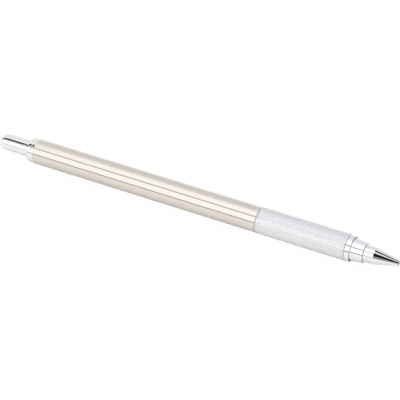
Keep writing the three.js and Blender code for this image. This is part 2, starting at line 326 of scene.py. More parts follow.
def revolve(name, xs, radii, sides, materials, film, plated_from=None, knurl=None):
    """A surface turned about the pen's axis.

    The point at angle a on ring i lies at x = xs[i], y = radius * sin(a) and z = the axis +
    radius * cos(a), where the radius may change with the angle. An outline that starts and ends
    with no radius is closed by two poles, and any other one joins its last ring to its first. The
    argument after the materials is the painted shade on each ring or point, a grey that stands for
    shade in hollows. plated_from is the (x, radius) beyond which the faces take the second material.
    knurl is (first ring, last ring, samples to a pitch) of a knurl, whose cells are cut along its
    grooves.
    """
    angle = np.arange(sides) * 2 * math.pi / sides
    xs = np.reshape(xs, (-1, 1))
    radii = np.broadcast_to(np.reshape(radii, (len(xs), -1)), (len(xs), sides))
    film = np.broadcast_to(np.reshape(film, (len(xs), -1)), (len(xs), sides))
    closed = radii[0, 0] > 0
    if not closed:
        poles = [[xs[0, 0], 0, AXIS_Z], [xs[-1, 0], 0, AXIS_Z]]
        painted_shade_ends = film[[0, -1], 0]
        xs, radii, film = xs[1:-1], radii[1:-1], film[1:-1]
    film = film.reshape(-1)
    across, up = radii * np.sin(angle), AXIS_Z + radii * np.cos(angle)
    vertices = np.stack([np.broadcast_to(xs, radii.shape), across, up], -1).reshape(-1, 3)
    index = np.arange(len(vertices)).reshape(radii.shape)
    rows = len(xs) if closed else len(xs) - 1
    here, there = index[:rows], np.roll(index, -1, 0)[:rows]
    quads = np.stack([here, there, np.roll(there, -1, 1), np.roll(here, -1, 1)], -1)
    plated = np.zeros(rows, int)
    if plated_from:
        middle_x = (xs + np.roll(xs, -1, 0))[:rows, 0] / 2
        middle_radius = (radii + np.roll(radii, -1, 0))[:rows, 0] / 2
        plated = ((middle_x > plated_from[0]) & (middle_radius > plated_from[1])).astype(int)
    plated = np.repeat(plated[:, None], sides, 1)
    if knurl:
        start, stop, samples = knurl
        i, j = np.meshgrid(np.arange(stop - start), np.arange(sides), indexing="ij")
        cells = quads[start:stop].reshape(-1, 4)
        level = ((i - j) % samples == 0).reshape(-1, 1)
        one = np.where(level, cells[:, [0, 1, 2]], cells[:, [0, 1, 3]])
        two = np.where(level, cells[:, [0, 2, 3]], cells[:, [1, 2, 3]])
        rest = np.r_[0:start, stop:rows]
        faces = quads[rest].reshape(-1, 4).tolist() + one.tolist() + two.tolist()
        marks = plated[rest].reshape(-1).tolist() + [0] * (2 * len(cells))
    else:
        faces, marks = quads.reshape(-1, 4).tolist(), plated.reshape(-1).tolist()
    if not closed:
        rear = np.stack([np.full(sides, len(vertices)), index[0], np.roll(index[0], -1)], -1)
        front = np.stack([np.full(sides, len(vertices) + 1), np.roll(index[-1], -1), index[-1]], -1)
        vertices = np.concatenate([vertices, poles])
        film = np.concatenate([film, painted_shade_ends])
        faces += rear.tolist() + front.tolist()
        marks += [0] * (2 * sides)
    return make_object(name, vertices, faces, materials, marks, film)


def settle(piece, body, slot, *nodes):
    """Puts a finished piece on its body and hides the CAD nodes that it stands for. The slot is not
    used.
    """
    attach(piece, body)
    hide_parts(*nodes)


def painted_shade_on(outline, places):
    """Painted shade on an outline's points, from (lowest x, highest x, highest radius, amount)."""
    x, radius = outline.T
    film = np.zeros(len(outline))
    for low, high, highest, amount in places:
        film[(x > low) & (x < high) & (radius < highest)] = amount
    return film


def turned(node, corners, body, slot, material, sides=OUTER_SIDES, film=()):
    """A turned piece that stands for one CAD node, from the corners of its outline."""
    outline = fine_outline(corners)
    xs, radii = outline.T
    piece = revolve(node + "_turned", xs, radii, sides, [material], painted_shade_on(outline, film))
    settle(piece, body, slot, node)


def bush(x, end, bore, radius):
    """Corners of a plain bush: out, forward, in and back."""
    return [(x, bore), (x, radius), (end, radius), (end, bore)]


# Materials


def add(tree, kind, inputs=None, **settings):
    """Adds a node, sets its own settings, and gives its sockets a value or a link."""
    node = tree.nodes.new(kind)
    for key, value in settings.items():
        setattr(node, key, value)
    for key, value in (inputs or {}).items():
        if isinstance(value, bpy.types.NodeSocket):
            tree.links.new(value, node.inputs[key])
        else:
            node.inputs[key].default_value = value
    return node


def new_material(name):
    """A new material and its node tree, which is empty."""
    material = bpy.data.materials.new(name)
    material.use_nodes = True
    material.node_tree.nodes.clear()
    return material, material.node_tree


def streaks(tree, width, length, detail=2.0):
    """Noise drawn out round the pen's axis: bands of one width along X and one length across it."""
    place = add(tree, "ShaderNodeTexCoord").outputs["Object"]
    scale = (1 / (width * MM), 1 / (length * MM), 1 / (length * MM))
    stretched = add(tree, "ShaderNodeMapping", {"Vector": place, "Scale": scale}).outputs["Vector"]
    return add(tree, "ShaderNodeTexNoise", {"Vector": stretched, "Scale": 1.0, "Detail": detail})


def grains(tree, size):
    """Noise of one size in all directions."""
    place = add(tree, "ShaderNodeTexCoord").outputs["Object"]
    return add(tree, "ShaderNodeTexNoise", {"Vector": place, "Scale": 1 / (size * MM), "Detail": 2.0})


def metal(name, colour, marks, depth, tint, roughness, spread, anisotropy=0.0):
    """A metal whose marks move its tint, gloss and relief.

    marks is the function that adds their noise, and the sizes that it takes. depth is their relief
    in millimetres, tint the share by which the colour darkens in them and spread how far the
    roughness moves either way. A painted shade attribute of the mesh greys grooves and inside
    corners.
    Anisotropy spreads a reflection along the pen, as brush lines round it do.
    """
    material, tree = new_material(name)
    make_marks, *sizes = marks
    noise = make_marks(tree, *sizes).outputs["Fac"]
    dark = [c * (1 - tint) for c in colour[:3]] + [1.0]
    shade = add(tree, "ShaderNodeMix", {0: noise, 6: dark, 7: colour}, data_type="RGBA").outputs[2]
    # Painted shade: the mesh's attribute mixes in a dark copy of the colour where shade falls
    film = add(tree, "ShaderNodeAttribute", attribute_name="film").outputs["Fac"]
    painted_dark = [c * PAINTED_SHADE_SHARE for c in colour[:3]] + [1.0]
    shade = add(tree, "ShaderNodeMix", {0: film, 6: shade, 7: painted_dark}, data_type="RGBA")
    glossiest, dullest = roughness - spread, roughness + spread
    gloss = add(tree, "ShaderNodeMapRange", {"Value": noise, "To Min": glossiest, "To Max": dullest})
    relief = add(tree, "ShaderNodeBump", {"Height": noise, "Strength": 1.0, "Distance": depth * MM})
    surface = add(
        tree,
        "ShaderNodeBsdfPrincipled",
        {
            "Base Color": shade.outputs[2],
            "Metallic": 1.0,
            "Roughness": gloss.outputs["Result"],
            "Normal": relief.outputs["Normal"],
            "Anisotropic": anisotropy,
        },
    )
    if anisotropy:
        quarter_turn = 0.25
        surface.inputs["Anisotropic Rotation"].default_value = quarter_turn
        round_axis = add(tree, "ShaderNodeTangent", direction_type="RADIAL", axis="X")
        tree.links.new(round_axis.outputs["Tangent"], surface.inputs["Tangent"])
    add(tree, "ShaderNodeOutputMaterial", {"Surface": surface.outputs["BSDF"]})
    return material


def moulded(name, colour, roughness, grain, depth, ior):
    """A plastic or rubber with a fine even grain, whose size and depth are in millimetres."""
    material, tree = new_material(name)
    noise = grains(tree, grain).outputs["Fac"]
    dark = [c * GRAIN_DARK for c in colour[:3]] + [1.0]
    shade = add(tree, "ShaderNodeMix", {0: noise, 6: dark, 7: colour}, data_type="RGBA")
    relief = add(tree, "ShaderNodeBump", {"Height": noise, "Distance": depth * MM})
    surface = add(
        tree,
        "ShaderNodeBsdfPrincipled",
        {
            "Base Color": shade.outputs[2],
            "Roughness": roughness,
            "IOR": ior,
            "Normal": relief.outputs["Normal"],
        },
    )
    add(tree, "ShaderNodeOutputMaterial", {"Surface": surface.outputs["BSDF"]})
    return material


def shared(name, make, colour, **looks):
    """The material of that name, made of one of the scene's colours when it is first asked for."""
    own = list(getattr(bpy.context.scene.scribe_colours, colour))
    return bpy.data.materials.get(name) or make(name, own, **looks)


def chrome_plate():
    """Bright chrome plate on turned and buffed brass.

    A clean, nearly neutral mirror with very faint turning marks round the axis, and painted shade, a
    grey painted in the inside corners of the steps, where shade falls.
    """
    return shared(
        "bright_chrome_plate_buffed",
        metal,
        "chrome",
        marks=(streaks, 0.35, 6.0),
        depth=0.0007,
        tint=0.05,
        roughness=0.035,
        spread=0.01,
    )


def brushed_steel():
    """Stainless steel tube, brushed round its axis, of a warm champagne tone.

    The brush lines spread a reflection along the tube and keep it sharp round it. They are about
    0.1 mm apart, drawn here 0.3 mm apart so that they show.
    """
    return shared(
        "stainless_steel_brushed_round",
        metal,
        "steel",
        marks=(streaks, 0.3, 9.0, 3.0),
        depth=0.001,
        tint=0.07,
        roughness=0.075,
        spread=0.015,
        anisotropy=0.5,
    )


def satin_aluminium():
    """Aluminium with a knurl rolled into it, bead blasted and clear anodised.

    Pale silver that scatters light evenly, with a fine grain. Where the grooves of the knurl cross,
    painted shade draws a lattice of darker dots.
    """
    return shared(
        "aluminium_knurled_satin_anodised",
        metal,
        "aluminium",
        marks=(grains, 0.25),
        depth=0.001,
        tint=0.05,
        roughness=0.38,
        spread=0.05,
    )


def turned_brass():
    """Free-cutting brass, turned: yellow, with fine tool marks round the axis."""
    return shared(
        "brass_turned",
        metal,
        "brass",
        marks=(streaks, 0.25, 8.0),
        depth=0.002,
        tint=0.12,
        roughness=0.24,
        spread=0.05,
    )


def spring_steel():
    """Drawn spring steel and ground tool steel: grey and half bright, with a fine grain."""
    return shared(
        "spring_steel_drawn",
        metal,
        "spring_steel",
        marks=(grains, 0.12),
        depth=0.001,
        tint=0.12,
        roughness=0.26,
        spread=0.06,
    )


def carbide():
    """Tungsten carbide, ground with a diamond wheel: dark grey with a fine satin grind."""
    return shared(
        "tungsten_carbide_ground",
        metal,
        "carbide",
        marks=(streaks, 0.06, 1.5),
        depth=0.001,
        tint=0.15,
        roughness=0.32,
        spread=0.06,
    )


def white_acetal():
    """White acetal, turned from rod: slightly waxy and half matt."""
    looks = {"roughness": 0.42, "grain": 0.3, "depth": 0.004, "ior": 1.48}
    return shared("acetal_white_turned", moulded, "acetal", **looks)


def black_rubber():
    """Black nitrile rubber, moulded: matt, with a fine grain."""
    looks = {"roughness": 0.7, "grain": 0.15, "depth": 0.01, "ior": 1.52}
    return shared("nitrile_rubber_moulded", moulded, "rubber", **looks)


# Pieces


def push_cap():
    """The polished cap: a cup with a wide rounded end and a small flat that the thumb pushes."""
    x, end = span("push_cap")
    radius = radius_of("push_cap")
    bore = radius_of("cap_liner") + FIXED_FIT
    flat = radius - CAP_TAPER - CAP_ROUND[1]
    floor_x = span("cap_liner")[0] - SEAT_GAP
    corners = [(x, 0), (x, flat, 0), *quarter_round(x, flat, *CAP_ROUND)]
    corners += [
        (span("rear_collar")[0], radius),
        (end, radius, CAP_RIM_EASE),
        (end, bore),
        (floor_x, bore),
        (floor_x, 0),
    ]
    turned("push_cap", corners, "cap", "polished_chrome", chrome_plate())


def rear_collar():
    """The polished collar: a rounded rim, a fine groove, a plain land and a spigot in the barrel."""
    x, end = span("rear_collar")
    radius = radius_of("rear_collar")
    bore = radius_of("push_cap") + SLIDE_FIT
    spigot = radius_of("tube_guide")
    land_end = span("barrel_tube")[0] - SEAT_GAP
    land = land_end - COLLAR_LAND
    rim = radius - 2 * LAND_TAPER - COLLAR_ROUND[1]
    corners = [(x, bore), (x, rim, 0), *quarter_round(x, rim, *COLLAR_ROUND)]
    corners += [
        (land - 2 * COLLAR_GROOVE, radius - LAND_TAPER),
        (land - COLLAR_GROOVE, radius - COLLAR_GROOVE / 2),
        (land, radius - LAND_TAPER),
        (land_end, radius),
        (land_end, spigot),
        (end, spigot),
        (end, bore),
    ]
    turned("rear_collar", corners, "barrel", "polished_chrome", chrome_plate())


def knurled_sleeve():
    """The grip: a diamond knurl, a narrow relief groove and a plain polished ring at the front.

    Two families of V grooves cross on the outside. With i counting samples along the pen and j
    round it, a groove lies wherever i + j or i - j is a whole number of pitches. The surface is
    lower there by the groove's depth, and rises evenly to a small flat between the grooves.
    """
    sizes = bpy.context.scene.scribe_sizes
    x, end = span("grip_sleeve")
    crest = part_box("grip_sleeve")[1].z / MM - AXIS_Z
    thread = radius_of("tube_guide") + FIXED_FIT
    stem = radius_of("nose_holder") - SHOULDER_RISE
    socket = stem + FIXED_FIT
    shoulder_socket = radius_of("nose_holder") + FIXED_FIT
    rear_thread_end = span("front_union")[1] + THREAD_RELIEF
    front_thread = span("nose_holder")[0] - THREAD_RELIEF
    ring_x = end - RING_LENGTH
    ring_rear, ring_front = crest - RING_DROP, crest - RING_DROP - RING_TAPER
    relief_end = ring_x + RELIEF_GROOVE
    knurl_x = x + KNURL_SLOPE
    corners = [
        (x, thread),
        (x, crest - GRIP_EDGE),
        (knurl_x, crest - GRIP_EDGE + KNURL_SLOPE, 0),
        (ring_x, crest - KNURL_SLOPE, 0),
        (ring_x + RELIEF_EASE, ring_rear - RELIEF_GROOVE, RELIEF_EASE),
        (relief_end, ring_rear - RELIEF_GROOVE, RELIEF_EASE),
        (relief_end + RING_REAR_EASE, ring_rear, RING_REAR_EASE),
        (end, ring_front, STEP_EASE),
        (end, shoulder_socket),
        (end - SHOULDER_SEAT, shoulder_socket),
        (end - SHOULDER_SEAT, socket),
        (front_thread, socket),
        (front_thread, stem - WAIST_STEP),
        (rear_thread_end, stem - WAIST_STEP),
        (rear_thread_end, thread),
    ]
    outline = fine_outline(corners)
    start = int(np.argmin(np.hypot(*(outline - corners[2][:2]).T)))
    stop = int(np.argmin(np.hypot(*(outline - corners[3][:2]).T)))

    sides = sizes.knurl_round * KNURL_SAMPLES
    i = np.arange(sizes.knurl_rows * KNURL_SAMPLES + 1)[:, None]
    j = np.arange(sides)[None, :]
    along = knurl_x + (ring_x - knurl_x) * i / i.max()
    to_groove = [np.abs((n / KNURL_SAMPLES + 0.5) % 1 - 0.5) for n in (i + j, i - j)]
    depth = np.clip(1 - np.minimum(*to_groove) / GROOVE_HALF, 0, 1)
    # Painted shade at the crossings of the grooves, where shade falls, fading out over the crossing
    # reach
    painted_shade_by_groove = [np.clip(1 - distance / CROSSING_REACH, 0, 1) for distance in to_groove]
    edges = np.minimum(crest - GRIP_EDGE + along - x, crest - KNURL_SLOPE + ring_x - along)

    rows = slice(start, start + len(along))
    filler = np.concatenate([along, np.zeros_like(along)], 1)
    outline = np.concatenate([outline[:start], filler, outline[stop + 1 :]])
    radii = np.repeat(outline[:, 1:], sides, 1)
    radii[rows] = np.minimum(crest - sizes.knurl_depth / MM * depth, edges)
    # Painted shade where shade falls: in the joint at the rear face, in the relief groove and on the
    # front face
    places = [
        (x - PAINTED_SHADE_REACH, x + PAINTED_SHADE_REACH, crest, JOINT_PAINTED_SHADE),
        (ring_x, relief_end, ring_rear - RELIEF_GROOVE / 2, RELIEF_PAINTED_SHADE),
        (end - PAINTED_SHADE_REACH, end + PAINTED_SHADE_REACH, ring_front - PAINTED_SHADE_REACH, STEP_PAINTED_SHADE),
    ]
    film = np.repeat(painted_shade_on(outline, places)[:, None], sides, 1)
    film[rows] = KNURL_PAINTED_SHADE * np.prod(painted_shade_by_groove, axis=0)
    piece = revolve(
        "grip_sleeve_knurled",
        outline[:, 0],
        radii,
        sides,
        [satin_aluminium(), chrome_plate()],
        film,
        plated_from=(relief_end, shoulder_socket + PLATING_RIM),
        knurl=(rows.start, rows.stop - 1, KNURL_SAMPLES),
    )
    settle(piece, "barrel", "satin_aluminium", "grip_sleeve")


def barrel_and_joint():
    """The brushed tube with its two fine edges, the guide bush in it, the union and its ring."""
    x, end = span("barrel_tube")
    radius = radius_of("barrel_tube")
    bore = radius_of("tube_guide") + FIXED_FIT
    corners = [
        (x, bore),
        (x, radius, BARREL_REAR_EASE),
        (end, radius, BARREL_FRONT_EASE),
        (end, bore),
    ]
    turned("barrel_tube", corners, "barrel", "brushed_steel", brushed_steel(), BARREL_SIDES)

    x, end = span("tube_guide")
    tube_bore = radius_of("reservoir_tube", INNER_FLATS) + SLIDE_FIT
    corners = bush(x, end, tube_bore, radius_of("tube_guide"))
    turned("tube_guide", corners, "barrel", "white_acetal", white_acetal())

    x, end = span("joint_ring")
    radius = radius_of("joint_ring")
    flange = radius - JOINT_RING_WALL - FIXED_FIT
    corners = bush(x, end, flange + FIXED_FIT, radius)
    # Painted shade at both ends of the joint ring, half as strong at the rear, where the joint's
    # shade falls
    film = [
        (x - PAINTED_SHADE_REACH, x + PAINTED_SHADE_REACH, radius + PAINTED_SHADE_REACH, JOINT_PAINTED_SHADE / 2),
        (end - PAINTED_SHADE_REACH, end + PAINTED_SHADE_REACH, radius + PAINTED_SHADE_REACH, JOINT_PAINTED_SHADE),
    ]
    turned("joint_ring", corners, "barrel", "satin_aluminium", satin_aluminium(), film=film)

    rear, front = span("front_union")
    spigot = radius_of("tube_guide")
    socket = radius_of("clutch_sleeve", INNER_FLATS) + FIXED_FIT
    socket_x = span("clutch_sleeve")[0] - SEAT_GAP
    corners = [
        (rear, socket),
        (rear, spigot),
        (x, spigot),
        (x, flange),
        (end, flange),
        (end, spigot),
        (front, spigot),
        (front, socket),
        (socket_x, socket),
        (socket_x, tube_bore),
        (socket_x - UNION_WEB, tube_bore),
        (socket_x - UNION_WEB, socket),
    ]
    turned("front_union", corners, "barrel", "brass", turned_brass())


def nose():
    """The two polished steps and the cone of the nose, and the rubber bush round the needle."""
    grip_end = span("grip_sleeve")[1]
    x, end = span("nose_holder")
    rear = radius_of("nose_holder")
    front = rear - SHOULDER_TAPER
    sleeve = radius_of("clutch_sleeve", INNER_FLATS)
    seat = grip_end - SHOULDER_SEAT + SEAT_GAP
    corners = [
        (x, sleeve + FIXED_FIT),
        (x, rear - SHOULDER_RISE),
        (seat, rear - SHOULDER_RISE),
        (seat, rear),
        (grip_end, rear, 0),
        (end, front, STEP_EASE),
        (end, sleeve + FIXED_FIT),
    ]
    # Painted shade on the front face of the shoulder, where shade falls
    film = [(end - PAINTED_SHADE_REACH, end + PAINTED_SHADE_REACH, front - PAINTED_SHADE_REACH, SHOULDER_PAINTED_SHADE)]
    turned("nose_holder", corners, "barrel", "polished_chrome", chrome_plate(), film=film)

    x, end = span("nose_tip")
    band = radius_of("nose_tip")
    needle_bore = radius_of("needle_shank", INNER_FLATS) + SLIDE_FIT
    bush_x, bush_end = span("needle_bush")
    bush_radius = radius_of("needle_bush", INNER_FLATS)
    band_x = span("nose_holder")[1] + SEAT_GAP
    cone_x = band_x + BAND_LENGTH
    head_room_x = span("collet")[1] + HEAD_ROOM_LENGTH
    head_room = radius_of("collet", INNER_FLATS) + HEAD_CLEARANCE
    corners = [
        (x, head_room),
        (x, sleeve),
        (band_x, sleeve),
        (band_x, band, BAND_EASE),
        (cone_x, band, CONE_EASE),
        (end, needle_bore + TIP_WALL, TIP_EASE),
        (end, needle_bore),
        (bush_end + SEAT_GAP, needle_bore),
        (bush_end + SEAT_GAP, bush_radius + FIXED_FIT),
        (head_room_x, bush_radius + FIXED_FIT),
        (head_room_x, head_room),
    ]
    turned("nose_tip", corners, "barrel", "polished_chrome", chrome_plate())
    corners = bush(bush_x, bush_end, needle_bore, bush_radius)
    turned("needle_bush", corners, "barrel", "black_rubber", black_rubber(), BUSH_SIDES)


def reservoir():
    """The brass tube that carries the push, the rubber plug in its rear and the liner of the cap."""
    x, end = span("reservoir_tube")
    radius = radius_of("reservoir_tube", INNER_FLATS)
    corners = bush(x, end, radius - TUBE_WALL, radius)
    turned("reservoir_tube", corners, "push_train", "brass", turned_brass(), INNER_SIDES)

    plug_x, plug_end = span("reservoir_plug")
    neck = radius - TUBE_WALL - FIXED_FIT
    head_end = x - SEAT_GAP
    corners = [
        (plug_x, 0),
        (plug_x, radius),
        (head_end, radius),
        (head_end, neck),
        (plug_end, neck),
        (plug_end, 0),
    ]
    turned("reservoir_plug", corners, "push_train", "black_rubber", black_rubber(), INNER_SIDES)

    x, end = span("cap_liner")
    corners = bush(x, end, radius + FIXED_FIT, radius_of("cap_liner"))
    turned("cap_liner", corners, "cap", "white_acetal", white_acetal(), INNER_SIDES)


def clutch():
    """The clutch sleeve, the tapered ring in its mouth, the coupler and the slit collet."""
    x, end = span("clutch_sleeve")
    radius = radius_of("clutch_sleeve", INNER_FLATS)
    room = radius_of("reservoir_tube", INNER_FLATS) + SLIDE_FIT
    mouth = span("clutch_ring")[0] - SEAT_GAP
    head = radius_of("collet", INNER_FLATS)
    stem = head - COLLET_RISE
    corners = [
        (x, room),
        (x, radius),
        (end, radius),
        (end, room),
        (mouth, room),
        (mouth, stem + SLIDE_FIT),
        (mouth - SPRING_STOP, stem + SLIDE_FIT),
        (mouth - SPRING_STOP, room),
    ]
    turned("clutch_sleeve", corners, "barrel", "brass", turned_brass(), INNER_SIDES)

    x, end = span("clutch_ring")
    bores = [stem + COLLET_RISE * (place - mouth) / COLLET_TAPER + SLIDE_FIT for place in (x, end)]
    outside = radius_of("clutch_ring", INNER_FLATS)
    corners = [(x, bores[0]), (x, outside), (end, outside), (end, bores[1])]
    turned("clutch_ring", corners, "ring", "brass", turned_brass(), INNER_SIDES)

    x, end = span("tube_coupler")
    collet_x = span("collet")[0] - SEAT_GAP
    tube_end = span("reservoir_tube")[1]
    tube = radius_of("reservoir_tube", INNER_FLATS)
    spigot = tube - TUBE_WALL - FIXED_FIT
    bore = radius_of("needle_shank", INNER_FLATS) + SLIDE_FIT
    corners = [
        (x, bore),
        (x, spigot),
        (tube_end + SEAT_GAP, spigot),
        (tube_end + SEAT_GAP, tube),
        (end, tube),
        (end, stem + FIXED_FIT),
        (collet_x, stem + FIXED_FIT),
        (collet_x, bore),
    ]
    turned("tube_coupler", corners, "push_train", "white_acetal", white_acetal(), INNER_SIDES)
    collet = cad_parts["collet"]
    collet.data.materials.clear()
    collet.data.materials.append(turned_brass())


def return_spring():
    """The return spring: a round wire on a helix with one closed coil at each end.

    The middle of the wire turns at an even rate about the axis. Its x grows with the turn, slowly
    over the first and last coil, where it moves by about one wire, and evenly between them. A ring
    of the wire lies across the helix: its radius times the cosine outward, and times the sine along
    the pen.
    """
    sizes = bpy.context.scene.scribe_sizes
    low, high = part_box("return_spring")
    wire = sizes.spring_wire / MM / 2
    mean = (high.y - low.y) / 2 / MM - wire
    start, end = low.x / MM + wire, high.x / MM - wire
    coils = sizes.spring_coils
    turn = np.linspace(0, coils, coils * TURN_POINTS + 1)
    closed = CLOSED_RISE * wire
    x = np.interp(turn, [0, 1, coils - 1, coils], [start, start + closed, end - closed, end])
    window = 2 * PITCH_BLEND + 1
    x = np.convolve(np.pad(x, PITCH_BLEND, mode="edge"), np.ones(window) / window, mode="valid")
    angle = turn * 2 * math.pi
    outward = np.stack([np.zeros_like(angle), np.sin(angle), np.cos(angle)], -1)
    middle = mean * outward + np.stack([x, np.zeros_like(x), np.full_like(x, AXIS_Z)], -1)
    section = (np.arange(WIRE_POINTS) * 2 * math.pi / WIRE_POINTS)[None, :, None]
    across = np.cos(section) * outward[:, None]
    rings = middle[:, None] + wire * (across + np.sin(section) * np.array([1.0, 0, 0]))
    index = np.arange(rings.size // 3).reshape(len(turn), WIRE_POINTS)
    beside = np.roll(index, -1, 1)
    quads = np.stack([index[:-1], beside[:-1], beside[1:], index[1:]], -1)
    count = index.size
    caps = [
        np.stack([np.full(WIRE_POINTS, count), beside[0], index[0]], -1),
        np.stack([np.full(WIRE_POINTS, count + 1), index[-1], beside[-1]], -1),
    ]
    vertices = np.concatenate([rings.reshape(-1, 3), middle[[0, -1]]])
    faces = quads.reshape(-1, 4).tolist() + caps[0].tolist() + caps[1].tolist()
    piece = make_object("return_spring_wound", vertices, faces, [spring_steel()])
    settle(piece, "barrel", "spring_steel", "return_spring")
    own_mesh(piece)


def needle():
    """The needle: a ground steel shank and the carbide point brazed into it."""
    x, end = span("needle_shank")
    radius = radius_of("needle_shank", INNER_FLATS)
    pin_x, point_end = span("carbide_point")
    corners = [
        (x, 0),
        (x, radius, NEEDLE_EASE),
        (end, radius),
        (end, BRAZE_PIN + BRAZE_FIT),
        (pin_x - BRAZE_FIT, BRAZE_PIN + BRAZE_FIT),
        (pin_x - BRAZE_FIT, 0),
    ]
    turned("needle_shank", corners, "needle", "spring_steel", spring_steel(), NEEDLE_SIDES)
    carbide_x = end + SEAT_GAP
    corners = [
        (pin_x, 0),
        (pin_x, BRAZE_PIN),
        (carbide_x, BRAZE_PIN),
        (carbide_x, radius),
        (point_end - POINT_LENGTH, radius, NEEDLE_EASE),
        (point_end, 0),
    ]
    turned("carbide_point", corners, "needle", "carbide", carbide(), NEEDLE_SIDES)


# Stage


def studio_world():
    """A white studio: a soft box before the pen, one over it and a paler wall behind.

    Seen from the pen, a direction is its height angle round the X axis, from 0 level with the floor
    on the camera's side, over 90 straight up, to 180 level behind. Thin dark frames edge the soft
    boxes. A few screens, each a range of that angle and of the direction's x, are the side walls
    and draw dark marks in the polished pieces. The camera itself sees plain white.
    """
    world = bpy.data.worlds.new("white_studio")
    world.use_nodes = True
    tree = world.node_tree
    tree.nodes.clear()
    bpy.context.scene.world = world
    direction = add(tree, "ShaderNodeTexCoord").outputs["Generated"]
    parts = add(tree, "ShaderNodeSeparateXYZ", {0: direction}).outputs
    toward = add(tree, "ShaderNodeMath", {0: parts["Y"], 1: -1.0}, operation="MULTIPLY").outputs[0]
    turn = add(tree, "ShaderNodeMath", {0: parts["Z"], 1: toward}, operation="ARCTAN2").outputs[0]
    in_degrees = {0: turn, 1: 180 / math.pi}
    height = add(tree, "ShaderNodeMath", in_degrees, operation="MULTIPLY").outputs[0]
    lowest, highest = STUDIO_LIGHT[0][0], STUDIO_LIGHT[-1][0]
    limits = {"Value": height, "From Min": lowest, "From Max": highest}
    share = add(tree, "ShaderNodeMapRange", limits)
    ramp = add(tree, "ShaderNodeValToRGB", {"Fac": share.outputs["Result"]})
    elements = ramp.color_ramp.elements
    while len(elements) > 1:
        elements.remove(elements[-1])
    for k, (degrees, level, colour) in enumerate(STUDIO_LIGHT):
        place = (degrees - lowest) / (highest - lowest)
        element = elements[0] if k == 0 else elements.new(place)
        element.position = place
        element.color = [c * level / STUDIO_PEAK for c in linear(colour)[:3]] + [1.0]
    light = ramp.outputs["Color"]
    for low, high, x_low, x_high, soft, level in SCREENS:
        inside = 1.0
        for value, edge, sign, width in (
            (height, low, 1, SCREEN_BLEND),
            (height, high, -1, SCREEN_BLEND),
            (parts["X"], x_low, 1, soft),
            (parts["X"], x_high, -1, soft),
        ):
            reach = sign * width / 2
            limits = {"Value": value, "From Min": edge - reach, "From Max": edge + reach}
            side = add(tree, "ShaderNodeMapRange", limits, interpolation_type="SMOOTHSTEP")
            both = {0: inside, 1: side.outputs["Result"]}
            inside = add(tree, "ShaderNodeMath", both, operation="MULTIPLY").outputs[0]
        own = [level / STUDIO_PEAK] * 3 + [1.0]
        screen = add(tree, "ShaderNodeMix", {0: inside, 6: light, 7: own}, data_type="RGBA")
        light = screen.outputs[2]
    studio = add(tree, "ShaderNodeBackground", {"Color": light, "Strength": STUDIO_PEAK})
    plain = add(tree, "ShaderNodeBackground", {"Color": [1.0, 1.0, 1.0, 1.0], "Strength": 1.0})
    path = add(tree, "ShaderNodeLightPath")
    rays = {0: path.outputs["Is Camera Ray"], 1: path.outputs["Is Transmission Ray"]}
    through = add(tree, "ShaderNodeMath", rays, operation="MAXIMUM")
    both = {0: through.outputs[0], 1: studio.outputs[0], 2: plain.outputs[0]}
    either = add(tree, "ShaderNodeMixShader", both)
    add(tree, "ShaderNodeOutputWorld", {"Surface": either.outputs[0]})


def pale_paper():
    """Matt white paper, which shows the pen's shadow only lightly.

    The camera sees it nearly white. The polished metal sees the shadow close to the pen, and white
    from about 15 mm away.
    """
    material, tree = new_material("paper_white_matt")
    grain = 1.5
    noise = grains(tree, grain).outputs["Fac"]
    dark, pale = (linear(colour) for colour in PAPER_SHADES)
    shade = add(tree, "ShaderNodeMix", {0: noise, 6: dark, 7: pale}, data_type="RGBA")
    paper = add(tree, "ShaderNodeBsdfDiffuse", {"Color": shade.outputs[2]})
    bright = add(tree, "ShaderNodeBsdfDiffuse", {"Color": [1.0, 1.0, 1.0, 1.0]})
    white = add(tree, "ShaderNodeEmission", {"Color": [1.0, 1.0, 1.0, 1.0], "Strength": 1.0})
    path = add(tree, "ShaderNodeLightPath")
    coordinates = add(tree, "ShaderNodeTexCoord")
    place = add(tree, "ShaderNodeSeparateXYZ", {0: coordinates.outputs["Object"]})
    beside = add(tree, "ShaderNodeMath", {0: place.outputs["Y"]}, operation="ABSOLUTE")
    shadow, clear = SHADOW_REACH
    limits = {"Value": beside.outputs[0], "From Min": shadow, "From Max": clear}
    away = add(tree, "ShaderNodeMapRange", {**limits, "To Min": 0.0, "To Max": METAL_WHITE})
    surface = paper
    shares = {
        "Is Glossy Ray": away.outputs["Result"],
        "Is Transmission Ray": CAMERA_WHITE,
        "Is Camera Ray": CAMERA_WHITE,
    }
    for ray, share in shares.items():
        both = {0: share, 1: bright.outputs[0], 2: white.outputs[0]}
        seen = add(tree, "ShaderNodeMixShader", both)
        both = {0: path.outputs[ray], 1: surface.outputs[0], 2: seen.outputs[0]}
        surface = add(tree, "ShaderNodeMixShader", both)
    add(tree, "ShaderNodeOutputMaterial", {"Surface": surface.outputs[0]})
    return material


def floor():
    """A round sheet of paper on z = 0. Its rings grow evenly in the square of their number."""
    stage = bpy.context.scene.scribe_stage
    radii = stage.floor_radius / MM * np.linspace(0, 1, FLOOR_RINGS + 1)[1:] ** 2
    angle = np.arange(FLOOR_SIDES) * 2 * math.pi / FLOOR_SIDES
    circle = np.stack([np.cos(angle), np.sin(angle), np.zeros(FLOOR_SIDES)], -1)
    rings = radii[:, None, None] * circle
    index = np.arange(rings.size // 3).reshape(FLOOR_RINGS, FLOOR_SIDES)
    beside = np.roll(index, -1, 1)
    quads = np.stack([index[:-1], index[1:], beside[1:], beside[:-1]], -1)
    fan = np.stack([np.full(FLOOR_SIDES, index.size), index[0], beside[0]], -1)
    vertices = np.concatenate([rings.reshape(-1, 3), [[0, 0, 0]]])
    faces = quads.reshape(-1, 4).tolist() + fan.tolist()
    make_object("paper_floor", vertices, faces, [pale_paper()])


